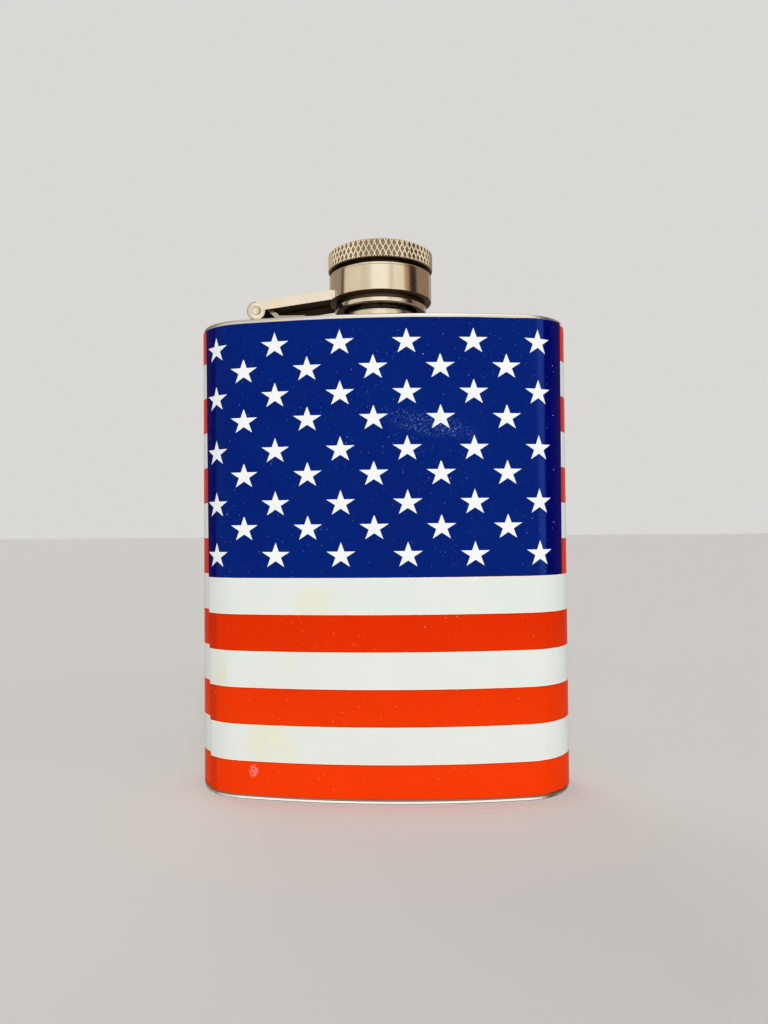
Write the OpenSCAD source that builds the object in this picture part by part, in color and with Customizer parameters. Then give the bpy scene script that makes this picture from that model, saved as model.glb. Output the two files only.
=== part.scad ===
// Curved hip flask: a kidney-shaped steel bottle in a printed film wrap, closed by a knurled screw cap
// that a hinged arm keeps captive. Millimetres, +Z up. The origin is the middle of the base, and the
// convex front faces -Y.

/* [Bottle] */
// Width of the bottle over its wrap
body_w = 95; // [88:1:104]
// Height from the base to the top plate's upper face
body_h = 118.5; // [100:0.5:140]
// Thickness of the bottle half way across its width
body_t = 21.3; // [20:0.1:22]
// Radius of the convex front
front_r = 185; // [170:5:220]
// Radius of the two front corners
front_corner_r = 14.6; // [13:0.2:16]
// Radius of the two back corners
back_corner_r = 8; // [7:0.25:9]
// Thickness of the rolled steel wall
wall_t = 0.45; // [0.3:0.05:0.8]
// Thickness of the pressed plates at both ends
plate_t = 0.6; // [0.5:0.1:0.65]
// Thickness of the printed film
wrap_t = 0.2; // [0.1:0.05:0.3]
// Bare steel below the film
wrap_low = 1.05; // [0.65:0.05:2]
// Bare steel above the film
wrap_high = 0.65; // [0.65:0.05:2]

/* [Neck] */
// Radius of the pouring bore
neck_bore_r = 7.3; // [6:0.1:7.5]
// Radius of the neck tube, which is the root of its thread
neck_root_r = 8.3; // [8.2:0.05:8.4]
// Radius of the plain shoulder on the top plate
neck_shoulder_r = 9.4; // [9:0.1:10]
// Height of the plain shoulder
neck_shoulder_h = 1.85; // [1.5:0.05:2]
// Height of the neck's rim above the top plate
neck_h = 11.45; // [11.3:0.05:11.5]
// Pitch of the screw thread
thread_pitch = 1.5; // [1.4:0.05:1.6]
// Height of a thread ridge
thread_h = 0.7; // [0.5:0.05:0.7]

/* [Cap] */
// Radius of the knurled knob
knob_r = 13.35; // [13.2:0.05:13.5]
// Height of the knurled knob
knob_h = 4.5; // [4.3:0.05:4.6]
// Radius of the sleeve that hangs from the knob
sleeve_r = 11; // [10.9:0.05:11.1]
// Radius of the rolled lip that keeps the sleeve in its collar
lip_r = 11.68; // [11.5:0.02:11.8]
// Height of the rolled lip
lip_h = 1.6; // [1.4:0.05:1.65]
// Height of the sleeve from the lip's underside to the knob
sleeve_h = 10.4; // [10.3:0.05:10.5]
// Height of the sleeve's lower end above the top plate
cap_gap = 2.5; // [2.4:0.05:2.6]
// How far the cap rises in its collar while it is unscrewed
cap_rise = 0.75; // [0.6:0.05:0.8]

/* [Arm] */
// Outer radius of the collar
collar_r = 13; // [12.7:0.1:13.1]
// Height of the collar
collar_h = 7.15; // [6.5:0.05:7.3]
// Thickness of the arm's and collar's sheet steel
sheet_t = 0.75; // [0.6:0.05:0.8]
// Width of the arm across its two cheeks
arm_w = 12; // [11:0.5:13]
// Distance from the cap's axis to the hinge
hinge_x = 31; // [30:0.2:32]
// Height of the hinge above the top plate
hinge_h = 2.5; // [2.45:0.05:2.75]
// Radius of the round eyes of the arm
eye_r = 2.28; // [2.26:0.01:2.35]
// Upward slope of the arm from the hinge, in degrees
arm_slope = 7.6; // [7:0.1:8]
// Radius of the hinge rivet
rivet_r = 1.3; // [1.2:0.05:1.35]

/* [Hidden] */
$fn = 96;
steel = "lightgray";

// Bottle outline: four pairs of tangent arcs. The corner arcs of each side share one depth.
front_corner_x = body_w / 2 - front_corner_r;
back_corner_x = body_w / 2 - back_corner_r;
corner_depth = front_r - sqrt(pow(front_r - front_corner_r, 2) - pow(front_corner_x, 2));
back_rise = body_t - corner_depth;
back_r = (pow(back_corner_x, 2) + pow(back_rise, 2) - pow(back_corner_r, 2)) / (2 * (back_corner_r - back_rise));
front_angle = asin(front_corner_x / (front_r - front_corner_r));
back_angle = asin(back_corner_x / (back_r + back_corner_r));
body_d = corner_depth + back_corner_r;
face_steps = 12;
corner_steps = 14;
edge_bevel = 0.3;

// The cap and the arm stand on the middle of the top plate, which the curve of the bottle puts forward.
axis_y = (body_t - body_d) / 2;
neck_rim_z = body_h + neck_h;
neck_tail = 1.2;
rim_chamfer = 0.3;
shoulder_chamfer = 0.4;

// Screw thread: the cap's ridge runs half a pitch below the neck's.
thread_steps = 24;
thread_base_w = 0.8;
thread_crest_w = 0.4;
thread_sink = 0.15;
thread_clearance = 0.25;
neck_thread_z = body_h + 4.85;
neck_thread_turns = 3.5;
liner_bore_r = neck_root_r + thread_h + thread_clearance;
liner_thread_z = neck_thread_z + thread_pitch / 2;
liner_thread_turns = 3;

// Cap heights
cap_z = body_h + cap_gap;
knob_z = cap_z + sleeve_h;
knob_top_z = knob_z + knob_h;
knob_t = 0.8;
knob_chamfer = 0.35;
sleeve_t = 0.5;
liner_inset = 0.45;
disc_gap = 0.1;
disc_z = neck_rim_z + disc_gap;
disc_h = 1.4;
disc_r = liner_bore_r - 0.15;
liner_roof_z = disc_z + disc_h + disc_gap;

// Collar, which leaves the cap its rise above the lip
collar_z = cap_z + lip_h + cap_rise + disc_gap;
collar_lip_t = 0.8;
collar_bore_r = sleeve_r + 0.2;

// Hinge
hinge_z = body_h + hinge_h;
cheek_gap = arm_w - 2 * sheet_t;
arm_depth = 2.37;
arm_overrun = 4;
cheek_end = sqrt(pow(collar_r, 2) - pow(arm_w / 2, 2));
tab_w = 1.15;
tab_root = 0.4;
tab_start = 0.15;
tab_end = 0.6;
knuckle_r = rivet_r + 0.95;
knuckle_clearance = 0.05;
knuckle_w = cheek_gap - 0.6;
journal_r = 1;
rivet_head_r = 1.15;
rivet_head_t = 0.25;
dimple_r = 0.55;
bracket_t = 1.2;
bracket_leg = 2.95;
bracket_shoulder = 0.5;
bracket_foot = 6.5;

function arc(cx, cy, r, a0, a1, n) =
    [for (i = [1:n]) let (a = a0 + (a1 - a0) * i / n) [cx + r * cos(a), cy + r * sin(a)]];

// Right half of the bottle's outline, from the middle of the front to the middle of the back
function half_outline(inset) = concat(
    [[0, inset - body_d / 2]],
    arc(0, front_r - body_d / 2, front_r - inset, 270, 270 + front_angle, face_steps),
    arc(front_corner_x, corner_depth - body_d / 2, front_corner_r - inset, 270 + front_angle, 360, corner_steps),
    arc(back_corner_x, corner_depth - body_d / 2, back_corner_r - inset, 0, 90 + back_angle, corner_steps),
    arc(0, body_t + back_r - body_d / 2, back_r + inset, 270 + back_angle, 270, face_steps)
);

function outline(inset) =
    let (half = half_outline(inset))
    concat(half, [for (i = [len(half) - 2:-1:1]) [-half[i][0], half[i][1]]]);

// A slab or a tube of the bottle's outline, set in from the film's outer face
module slab(inset, z0, z1) {
    translate([0, 0, z0]) linear_extrude(z1 - z0) polygon(outline(inset));
}

module tube(inset, thickness, z0, z1) {
    difference() {
        slab(inset, z0, z1);
        slab(inset + thickness, z0 - 1, z1 + 1);
    }
}

module on_cap_axis() {
    translate([0, axis_y, 0]) children();
}

// Lies along Y through the hinge, centred between the cheeks
module across_hinge(r, w) {
    translate([-hinge_x, axis_y + w / 2, hinge_z]) rotate([90, 0, 0]) cylinder(h = w, r = r);
}

// A side view in X and Z, with its corners counted from the hinge, made w wide
module side_sheet(points, w) {
    translate([-hinge_x, axis_y + w / 2, hinge_z]) rotate([90, 0, 0]) linear_extrude(w) polygon(points);
}

// One ring of a thread ridge: two points sunk into the wall and two on the crest, which dies away at both ends
function ridge_ring(wall_r, side, z, fade) = [
    [wall_r - side * thread_sink, z - thread_base_w / 2],
    [wall_r + side * thread_h * fade, z - thread_crest_w / 2],
    [wall_r + side * thread_h * fade, z + thread_crest_w / 2],
    [wall_r - side * thread_sink, z + thread_base_w / 2]
];

function flipped(list) = [for (i = [len(list) - 1:-1:0]) list[i]];

// side is 1 for a ridge on the outside of a tube and -1 for one inside a bore
module thread_ridge(wall_r, side, z0, turns) {
    count = turns * thread_steps;
    fade_steps = thread_steps / 6;
    points = [
        for (i = [0:count])
            let (
                a = 360 * i / thread_steps,
                z = z0 + thread_pitch * i / thread_steps,
                fade = max(0.05, min(1, i / fade_steps, (count - i) / fade_steps))
            )
            for (p = ridge_ring(wall_r, side, z, fade)) [p[0] * cos(a), p[0] * sin(a), p[1]]
    ];
    sides = [
        for (i = [0:count - 1])
            for (j = [0:3])
                let (low = 4 * i + j, next_low = 4 * i + (j + 1) % 4)
                for (face = [[low, next_low + 4, low + 4], [low, next_low, next_low + 4]]) face
    ];
    ends = [[3, 2, 1, 0], [for (j = [0:3]) 4 * count + j]];
    polyhedron(points, [for (face = concat(sides, ends)) side > 0 ? face : flipped(face)]);
}

// Rolled and welded kidney-shaped tube
module body_wall() {
    color(steel) tube(wrap_t, wall_t, plate_t, body_h - plate_t);
}

// Flat end plate with a softened edge, lying on its visible face
module end_plate() {
    slab(wrap_t + edge_bevel, 0, edge_bevel);
    slab(wrap_t, edge_bevel, plate_t);
}

module bottom_plate() {
    color(steel) end_plate();
}

module top_plate() {
    color(steel) difference() {
        translate([0, 0, body_h]) mirror([0, 0, 1]) end_plate();
        on_cap_axis() translate([0, 0, body_h - plate_t - 1]) cylinder(h = plate_t + 2, r = neck_root_r);
    }
}

// Neck tube: its tail goes through the top plate and its shoulder sits on it
module neck() {
    shoulder_z = body_h + neck_shoulder_h;
    color(steel) on_cap_axis() union() {
        rotate_extrude() polygon([
            [neck_bore_r, body_h - plate_t - neck_tail],
            [neck_root_r, body_h - plate_t - neck_tail],
            [neck_root_r, body_h],
            [neck_shoulder_r, body_h],
            [neck_shoulder_r, shoulder_z - shoulder_chamfer],
            [neck_shoulder_r - shoulder_chamfer, shoulder_z],
            [neck_root_r, shoulder_z],
            [neck_root_r, neck_rim_z - rim_chamfer],
            [neck_root_r - rim_chamfer, neck_rim_z],
            [neck_bore_r, neck_rim_z]
        ]);
        thread_ridge(neck_root_r, 1, neck_thread_z, neck_thread_turns);
    }
}

// Printed vinyl film round the whole wall
module printed_wrap() {
    color("navy") tube(0, wrap_t, wrap_low, body_h - wrap_high);
}

// Curled strip: a knuckle round the rivet, a leg sloping down to the plate at 45 degrees, and a welded foot.
// Below its shoulders the strip is as wide as the arm, and above them it passes between the cheeks.
module hinge_bracket() {
    back = bracket_leg + bracket_t * sqrt(2);
    drop = hinge_h - bracket_t;
    color(steel) difference() {
        union() {
            across_hinge(knuckle_r, knuckle_w);
            side_sheet([
                [0, knuckle_r - bracket_t],
                [knuckle_r * sqrt(0.5), knuckle_r * sqrt(0.5)],
                [back - 1.4, 1.4],
                [back + bracket_shoulder, -bracket_shoulder],
                [bracket_leg + bracket_shoulder, -bracket_shoulder],
                [bracket_leg - 0.6, 0.6]
            ], knuckle_w);
            side_sheet([
                [back + bracket_shoulder, -bracket_shoulder],
                [bracket_leg + bracket_shoulder, -bracket_shoulder],
                [bracket_leg + hinge_h, -hinge_h],
                [back + drop + bracket_foot, -hinge_h],
                [back + drop + bracket_foot, -drop],
                [back + drop, -drop]
            ], arm_w - 0.2);
        }
        across_hinge(rivet_r + knuckle_clearance, arm_w);
    }
}

// The ends of the arm's cheeks, turned out on to the collar
module end_tabs(low, high) {
    for (flip = [0, 1])
        on_cap_axis() mirror([0, flip, 0]) translate([-cheek_end - tab_start, arm_w / 2 - tab_root, hinge_z + low])
            cube([tab_start + tab_end, tab_root + tab_w, high - low]);
}

// Channel-shaped arm: two cheeks with round eyes, and a web that stops short of the knuckle
module arm() {
    end_x = hinge_x - collar_r + arm_overrun;
    rise = tan(arm_slope);
    top_z = eye_r / cos(arm_slope);
    web_z = top_z - sheet_t / cos(arm_slope);
    root_angle = arm_slope + asin((top_z - arm_depth) * cos(arm_slope) / eye_r);
    profile = concat(
        [[-eye_r * sin(arm_slope), eye_r * cos(arm_slope)]],
        arc(0, 0, eye_r, 90 + arm_slope, 360 + root_angle, 24),
        [
            [end_x, top_z + end_x * rise - arm_depth],
            [end_x, top_z + end_x * rise]
        ]
    );
    web_start = knuckle_r + 0.3;
    tab_top = top_z + (hinge_x - cheek_end) * rise;
    color(steel) difference() {
        union() {
            side_sheet(profile, arm_w);
            end_tabs(tab_top - arm_depth, tab_top - 0.05);
        }
        side_sheet([
            [web_start, -eye_r - 1],
            [end_x + 1, -eye_r - 1],
            [end_x + 1, web_z + (end_x + 1) * rise],
            [web_start, web_z + web_start * rise]
        ], cheek_gap);
        side_sheet([
            [-eye_r - 1, -eye_r - 1],
            [web_start, -eye_r - 1],
            [web_start, eye_r + 1],
            [-eye_r - 1, eye_r + 1]
        ], cheek_gap);
        across_hinge(journal_r, arm_w + 2);
        on_cap_axis() translate([0, 0, body_h]) cylinder(h = neck_h, r = collar_r);
    }
}

// Pressed ring with both edges turned in, which keeps the cap's sleeve captive
module collar() {
    inner_r = collar_r - collar_lip_t;
    top_z = collar_z + collar_h;
    color(steel) on_cap_axis() rotate_extrude() polygon([
        [collar_bore_r, collar_z],
        [collar_r - rim_chamfer, collar_z],
        [collar_r, collar_z + rim_chamfer],
        [collar_r, top_z - rim_chamfer],
        [collar_r - rim_chamfer, top_z],
        [collar_bore_r, top_z],
        [collar_bore_r, top_z - collar_lip_t],
        [inner_r, top_z - collar_lip_t],
        [inner_r, collar_z + collar_lip_t],
        [collar_bore_r, collar_z + collar_lip_t]
    ]);
}

// Shouldered rivet, peened over both cheeks, with a dimple in each head
module hinge_rivet() {
    span = arm_w + 2 * rivet_head_t;
    color("silver") difference() {
        union() {
            across_hinge(rivet_r, cheek_gap);
            across_hinge(journal_r, arm_w);
            for (side = [-1, 1])
                translate([0, side * (arm_w + rivet_head_t) / 2, 0]) across_hinge(rivet_head_r, rivet_head_t);
        }
        for (side = [-1, 1])
            translate([0, side * span / 2, 0]) across_hinge(dimple_r, rivet_head_t);
    }
}

// Rubber disc that seals on the neck's rim
module sealing_disc() {
    color("dimgray") on_cap_axis() translate([0, 0, disc_z]) cylinder(h = disc_h, r = disc_r);
}

// Knurled steel cup, turned in under its edge to meet the sleeve
module cap_knob() {
    color("gainsboro") on_cap_axis() rotate_extrude() polygon([
        [sleeve_r, knob_z],
        [knob_r - knob_chamfer, knob_z],
        [knob_r, knob_z + knob_chamfer],
        [knob_r, knob_top_z - knob_chamfer],
        [knob_r - knob_chamfer, knob_top_z],
        [0, knob_top_z],
        [0, knob_top_z - knob_t],
        [knob_r - knob_t, knob_top_z - knob_t],
        [knob_r - knob_t, knob_z + knob_t],
        [sleeve_r, knob_z + knob_t]
    ]);
}

// Steel sleeve with a rolled lip at its mouth
module cap_sleeve() {
    mouth_r = sleeve_r - sleeve_t;
    lip_edge = (lip_h - knob_chamfer) / 2;
    color(steel) on_cap_axis() rotate_extrude() polygon([
        [mouth_r, cap_z],
        [lip_r - lip_edge, cap_z],
        [lip_r, cap_z + lip_edge],
        [lip_r, cap_z + lip_h - lip_edge],
        [lip_r - lip_edge, cap_z + lip_h],
        [sleeve_r, cap_z + lip_h],
        [sleeve_r, knob_top_z - knob_t],
        [mouth_r, knob_top_z - knob_t]
    ]);
}

// Threaded plastic insert, closed at its top
module cap_liner() {
    outer_r = sleeve_r - sleeve_t;
    liner_z = cap_z + liner_inset;
    color("black") on_cap_axis() union() {
        rotate_extrude() polygon([
            [liner_bore_r, liner_z],
            [outer_r, liner_z],
            [outer_r, knob_top_z - knob_t],
            [0, knob_top_z - knob_t],
            [0, liner_roof_z],
            [liner_bore_r, liner_roof_z]
        ]);
        thread_ridge(liner_bore_r, -1, liner_thread_z, liner_thread_turns);
    }
}

body_wall();
top_plate();
bottom_plate();
neck();
printed_wrap();
hinge_bracket();
arm();
collar();
hinge_rivet();
sealing_disc();
cap_knob();
cap_sleeve();
cap_liner();
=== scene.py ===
"""Looks of the curved hip flask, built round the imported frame.

Metres, +Z up, the printed front faces -Y and the hinge is on -X.
"""

import math
from collections import namedtuple

import bmesh
import bpy
from mathutils import Matrix, Vector, noise

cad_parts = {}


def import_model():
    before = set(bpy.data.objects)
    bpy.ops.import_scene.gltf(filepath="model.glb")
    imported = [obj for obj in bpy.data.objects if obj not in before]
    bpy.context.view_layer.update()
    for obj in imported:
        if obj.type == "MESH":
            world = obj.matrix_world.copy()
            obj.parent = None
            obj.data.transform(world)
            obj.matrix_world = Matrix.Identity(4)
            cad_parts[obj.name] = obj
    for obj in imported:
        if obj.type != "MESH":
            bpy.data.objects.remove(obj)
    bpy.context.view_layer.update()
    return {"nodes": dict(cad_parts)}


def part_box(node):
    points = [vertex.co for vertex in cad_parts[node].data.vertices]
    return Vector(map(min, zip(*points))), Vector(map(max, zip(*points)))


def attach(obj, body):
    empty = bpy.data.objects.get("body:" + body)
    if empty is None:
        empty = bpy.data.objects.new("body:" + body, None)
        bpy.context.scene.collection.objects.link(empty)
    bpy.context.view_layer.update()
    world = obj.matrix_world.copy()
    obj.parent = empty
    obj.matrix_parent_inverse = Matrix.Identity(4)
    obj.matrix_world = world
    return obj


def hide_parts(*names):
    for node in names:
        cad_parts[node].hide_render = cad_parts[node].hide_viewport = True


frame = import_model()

MM = 0.001

# ---------------------------------------------------------------- sizes, from the frame where it gives them

film_low, film_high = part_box("printed_wrap")
_, wall_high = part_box("body_wall")
_, plate_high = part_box("top_plate")
neck_low, neck_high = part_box("neck")
collar_low, collar_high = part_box("collar")
knob_low, knob_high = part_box("cap_knob")
sleeve_low, sleeve_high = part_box("cap_sleeve")
liner_low, liner_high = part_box("cap_liner")
disc_low, disc_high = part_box("sealing_disc")
rivet_low, rivet_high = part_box("hinge_rivet")
arm_low, arm_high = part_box("arm")

BODY_W = film_high.x - film_low.x
BODY_D = film_high.y - film_low.y
FILM_H = film_high.z - film_low.z
FILM_T = film_high.x - wall_high.x
AXIS_Y = (neck_low.y + neck_high.y) / 2
AXIS = Vector((0, AXIS_Y, 0))
HINGE = (rivet_low + rivet_high) / 2
PLATE_Z = plate_high.z

FRONT_R = 185 * MM
FRONT_CORNER_R = 14.6 * MM

# In millimetres: the neck, its thread, and the cap's sleeve and liner.
NECK_BORE_R = 7.3
NECK_ROOT_R = 8.3
NECK_SHOULDER_R = 9.4
NECK_SHOULDER_H = 1.85
NECK_THREAD_Z = 4.85  # above the top plate
NECK_TURNS = 3.5
LINER_TURNS = 3
THREAD_PITCH = 1.5
THREAD_H = 0.7
LINER_BORE_R = 9.25
SLEEVE_R = 11
SLEEVE_T = 0.5
BEAD_H = 1.6
RIVET_R = 1.3
RIVET_GROOVE_R = 1.06  # the groove between a rivet head's middle and its flange
TAB_W = 1.15

LAP_RISE = 0.13 * MM  # how far the film's first edge stands proud, and over what length
LAP_LENGTH = 5 * MM
TOP_EDGE_R = 0.42 * MM  # the rounded edges of the two end plates
BASE_EDGE_R = 0.18 * MM
ARM_EDGE_R = 0.36 * MM
BRACKET_EDGE_R = 0.12 * MM
TAB_DROP = 0.42 * MM  # how far the tops of the arm's end tabs sit below its cheeks

# The knob's diamond knurl.
KNURLS = 60  # how many round the knob
KNURL_RISE = 2.63 * MM  # how far a ridge climbs in one pitch
KNURL_STEPS = 10  # mesh steps in a pitch, each way
KNURL_DEPTH = 0.26 * MM
RIDGE_W = 0.28  # half the width of a ridge, in pitches


def bottle_arcs():
    """The right half of the film's outer outline, as arcs from mid-front to mid-back.

    Each is its centre, radius, first angle and sweep, then 1 where the bottle bulges and -1 where it is hollow.
    """
    front_x = BODY_W / 2 - FRONT_CORNER_R
    reach = FRONT_R - FRONT_CORNER_R
    corner_y = film_low.y + FRONT_R - math.sqrt(reach**2 - front_x**2)
    back_corner_r = film_high.y - corner_y
    back_x = BODY_W / 2 - back_corner_r
    back_y = film_low.y + BODY_D + 2 * AXIS_Y
    rise = back_y - corner_y
    back_r = (back_x**2 + rise**2 - back_corner_r**2) / (2 * (back_corner_r - rise))
    front_angle = math.asin(front_x / reach)
    back_angle = math.asin(back_x / (back_r + back_corner_r))
    quarter = math.pi / 2
    return [
        (Vector((0, film_low.y + FRONT_R)), FRONT_R, -quarter, front_angle, 1),
        (Vector((front_x, corner_y)), FRONT_CORNER_R, front_angle - quarter, quarter - front_angle, 1),
        (Vector((back_x, corner_y)), back_corner_r, 0, quarter + back_angle, 1),
        (Vector((0, back_y + back_r)), back_r, back_angle - quarter, -back_angle, -1),
    ]


ARCS = bottle_arcs()
HALF_GIRTH = sum(radius * abs(sweep) for _, radius, _, sweep, _ in ARCS)
GIRTH = 2 * HALF_GIRTH


def bottle_point(along, inset=0.0):
    """The point at along metres round to the right from the middle of the front, moved inwards by inset."""
    along = (along + HALF_GIRTH) % GIRTH - HALF_GIRTH
    mirror = 1 if along >= 0 else -1
    left = abs(along)
    for centre, radius, start, sweep, side in ARCS:
        length = radius * abs(sweep)
        if left <= length or side < 0:
            angle = start + sweep * min(left / length, 1)
            reach = radius - side * inset
            x = centre.x + reach * math.cos(angle)
            return Vector((mirror * x, centre.y + reach * math.sin(angle)))
        left -= length


# ---------------------------------------------------------------- mesh helpers


def new_object(name, mesh, smooth_angle=35):
    piece = bpy.data.objects.new(name, mesh)
    bpy.context.scene.collection.objects.link(piece)
    mesh.shade_smooth()
    mesh.set_sharp_from_angle(angle=math.radians(smooth_angle))
    return piece


def loops_object(name, loops, close_profile=False, cap_ends=False, smooth_angle=35):
    """A surface through rings of points that all have the same count.

    close_profile joins the last ring to the first, and cap_ends closes both ends with a flat face.
    """
    size = len(loops[0])
    points = [tuple(p) for ring in loops for p in ring]
    faces = []
    for i in range(len(loops) if close_profile else len(loops) - 1):
        here, there = i * size, ((i + 1) % len(loops)) * size
        for j in range(size):
            k = (j + 1) % size
            faces.append((here + j, here + k, there + k, there + j))
    if cap_ends:
        faces.append(tuple(reversed(range(size))))
        faces.append(tuple(range((len(loops) - 1) * size, len(loops) * size)))
    mesh = bpy.data.meshes.new(name)
    mesh.from_pydata(points, [], faces)
    clean(mesh)
    return new_object(name, mesh, smooth_angle)


def clean(mesh, distance=1e-7):
    """Merges points that meet, drops empty faces and turns every face outwards."""
    work = bmesh.new()
    work.from_mesh(mesh)
    bmesh.ops.remove_doubles(work, verts=work.verts, dist=distance)
    bmesh.ops.dissolve_degenerate(work, edges=work.edges, dist=distance)
    bmesh.ops.recalc_face_normals(work, faces=work.faces)
    work.to_mesh(mesh)
    work.free()


def filleted(corners, steps=5):
    """A closed outline in two coordinates, from corners given as (a, b, radius)."""
    outline = []
    count = len(corners)
    for i, (a, b, radius) in enumerate(corners):
        here = Vector((a, b))
        to_last = (Vector(corners[i - 1][:2]) - here).normalized()
        to_next = (Vector(corners[(i + 1) % count][:2]) - here).normalized()
        if radius <= 0:
            outline.append(here)
            continue
        half = to_last.angle(to_next) / 2
        reach = radius / math.tan(half)
        centre = here + (to_last + to_next).normalized() * radius / math.sin(half)
        first, last = here + to_last * reach - centre, here + to_next * reach - centre
        turn = first.angle_signed(last)
        for step in range(steps + 1):
            outline.append(centre + Matrix.Rotation(-turn * step / steps, 2) @ first)
    return outline


def about_cap(radius, height, angle):
    """A point round the cap's upright axis."""
    return AXIS + Vector((radius * math.cos(angle), radius * math.sin(angle), height))


def about_hinge(radius, along, angle):
    """A point round the hinge's axis, which runs along Y."""
    return HINGE + Vector((radius * math.cos(angle), along, radius * math.sin(angle)))


def turned_rings(section, place, count):
    turn = 2 * math.pi / count
    return [[place(radius, along, turn * i) for i in range(count)] for radius, along in section]


def turned(name, corners, place=about_cap, count=192, steps=5, smooth_angle=35):
    """A turned piece from its section's corners, in millimetres: radius, place along the axis, fillet."""
    section = filleted([(r * MM, a * MM, f * MM) for r, a, f in corners], steps)
    rings = turned_rings(section, place, count)
    return loops_object(name, rings, close_profile=True, smooth_angle=smooth_angle)


def joined(name, pieces, smooth_angle=35):
    """One object made of several."""
    work = bmesh.new()
    for piece in pieces:
        work.from_mesh(piece.data)
        mesh = piece.data
        bpy.data.objects.remove(piece)
        bpy.data.meshes.remove(mesh)
    mesh = bpy.data.meshes.new(name)
    work.to_mesh(mesh)
    work.free()
    return new_object(name, mesh, smooth_angle)


def softened(name, node, width, keep_clear=0.0, segments=3, sharp=28):
    """A copy of a CAD node with its sharp edges rounded, except within keep_clear of the cap's axis."""
    work = bmesh.new()
    work.from_mesh(frame["nodes"][node].data)
    bmesh.ops.remove_doubles(work, verts=work.verts, dist=2e-6)
    bmesh.ops.dissolve_limit(work, angle_limit=math.radians(1), verts=work.verts, edges=work.edges)
    limit = math.radians(sharp)
    edges = [
        e
        for e in work.edges
        if len(e.link_faces) == 2
        and e.calc_face_angle(0) > limit
        and max((v.co - AXIS).xy.length for v in e.verts) > keep_clear
    ]
    bmesh.ops.bevel(
        work, geom=edges, offset=width, segments=segments, profile=0.5, affect="EDGES", clamp_overlap=True
    )
    mesh = bpy.data.meshes.new(name)
    work.to_mesh(mesh)
    work.free()
    if "custom_normal" in mesh.attributes:
        mesh.attributes.remove(mesh.attributes["custom_normal"])
    clean(mesh)
    piece = new_object(name, mesh, 50)
    piece.modifiers.new("even_faces", "WEIGHTED_NORMAL").keep_sharp = True
    return piece


def outline_ring(inset, z, count):
    return [bottle_point(GIRTH * i / count, inset).to_3d() + Vector((0, 0, z)) for i in range(count)]


def edge_fillet(inset, z_face, z_side, radius, steps=6):
    """Insets and heights round the rounded edge of a plate, from its flat face at z_face to its side."""
    direction = 1 if z_side > z_face else -1
    arc = []
    for step in range(steps + 1):
        angle = math.pi / 2 * step / steps
        inwards = radius * (1 - math.sin(angle))
        sideways = direction * radius * (1 - math.cos(angle))
        arc.append((inset + inwards, z_face + sideways))
    return arc


# ---------------------------------------------------------------- formulas made of shader nodes


class Formula:
    """A number worked out by shader nodes, so that a material reads as arithmetic."""

    def __init__(self, tree, socket):
        self.tree = tree
        self.socket = socket

    def math(self, operation, *others):
        node = self.tree.nodes.new("ShaderNodeMath")
        node.operation = operation
        for slot, value in zip(node.inputs, (self, *others)):
            feed(self.tree, slot, value)
        return Formula(self.tree, node.outputs[0])

    def __add__(self, other):
        return self.math("ADD", other)

    def __sub__(self, other):
        return self.math("SUBTRACT", other)

    def __mul__(self, other):
        return self.math("MULTIPLY", other)

    def __truediv__(self, other):
        return self.math("DIVIDE", other)

    def size(self):
        return self.math("ABSOLUTE")

    def above(self, limit):
        return self.math("GREATER_THAN", limit)

    def below(self, limit):
        return self.math("LESS_THAN", limit)

    def wrapped(self, low, high):
        return self.math("WRAP", high, low)

    def smooth(self, low, high):
        """0 at low and 1 at high, with a soft step between them."""
        node = self.tree.nodes.new("ShaderNodeMapRange")
        node.interpolation_type = "SMOOTHSTEP"
        feed(self.tree, node.inputs["Value"], self)
        node.inputs["From Min"].default_value = low
        node.inputs["From Max"].default_value = high
        return Formula(self.tree, node.outputs["Result"])

    def inverted(self):
        return self * -1 + 1

    def ranged(self, low, high):
        """Maps 0 to low and 1 to high."""
        return self * (high - low) + low


def feed(tree, slot, value):
    """Links a formula or a socket to a node's input, or sets the input's own value."""
    if isinstance(value, Formula):
        tree.links.new(value.socket, slot)
    elif isinstance(value, bpy.types.NodeSocket):
        tree.links.new(value, slot)
    else:
        slot.default_value = value


def linear(red, green, blue):
    """A colour given as 0 to 255 on a screen, as the linear values that a shader takes."""
    channels = []
    for c in (red / 255, green / 255, blue / 255):
        channels.append(c / 12.92 if c <= 0.04045 else ((c + 0.055) / 1.055) ** 2.4)
    return (*channels, 1)


def mix(tree, amount, a, b):
    node = tree.nodes.new("ShaderNodeMix")
    node.data_type = "RGBA"
    feed(tree, node.inputs[0], amount)
    feed(tree, node.inputs[6], a)
    feed(tree, node.inputs[7], b)
    return node.outputs[2]


def vector(tree, x, y, z=0.0):
    node = tree.nodes.new("ShaderNodeCombineXYZ")
    for slot, value in zip(node.inputs, (x, y, z)):
        feed(tree, slot, value)
    return node.outputs[0]


def parts(tree, source):
    node = tree.nodes.new("ShaderNodeSeparateXYZ")
    feed(tree, node.inputs[0], source)
    return [Formula(tree, out) for out in node.outputs]


def noise_of(tree, where, scale, detail=2.0, roughness=0.5, distortion=0.0):
    node = tree.nodes.new("ShaderNodeTexNoise")
    feed(tree, node.inputs["Vector"], where)
    node.inputs["Scale"].default_value = scale
    node.inputs["Detail"].default_value = detail
    node.inputs["Roughness"].default_value = roughness
    node.inputs["Distortion"].default_value = distortion
    return Formula(tree, node.outputs[0])


def cells_of(tree, where, scale=1.0):
    """Distance to the nearest of many scattered points, a random number for that point, and its place."""
    node = tree.nodes.new("ShaderNodeTexVoronoi")
    feed(tree, node.inputs["Vector"], where)
    node.inputs["Scale"].default_value = scale
    draw = parts(tree, node.outputs["Color"])
    return Formula(tree, node.outputs["Distance"]), draw, parts(tree, node.outputs["Position"])


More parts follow.
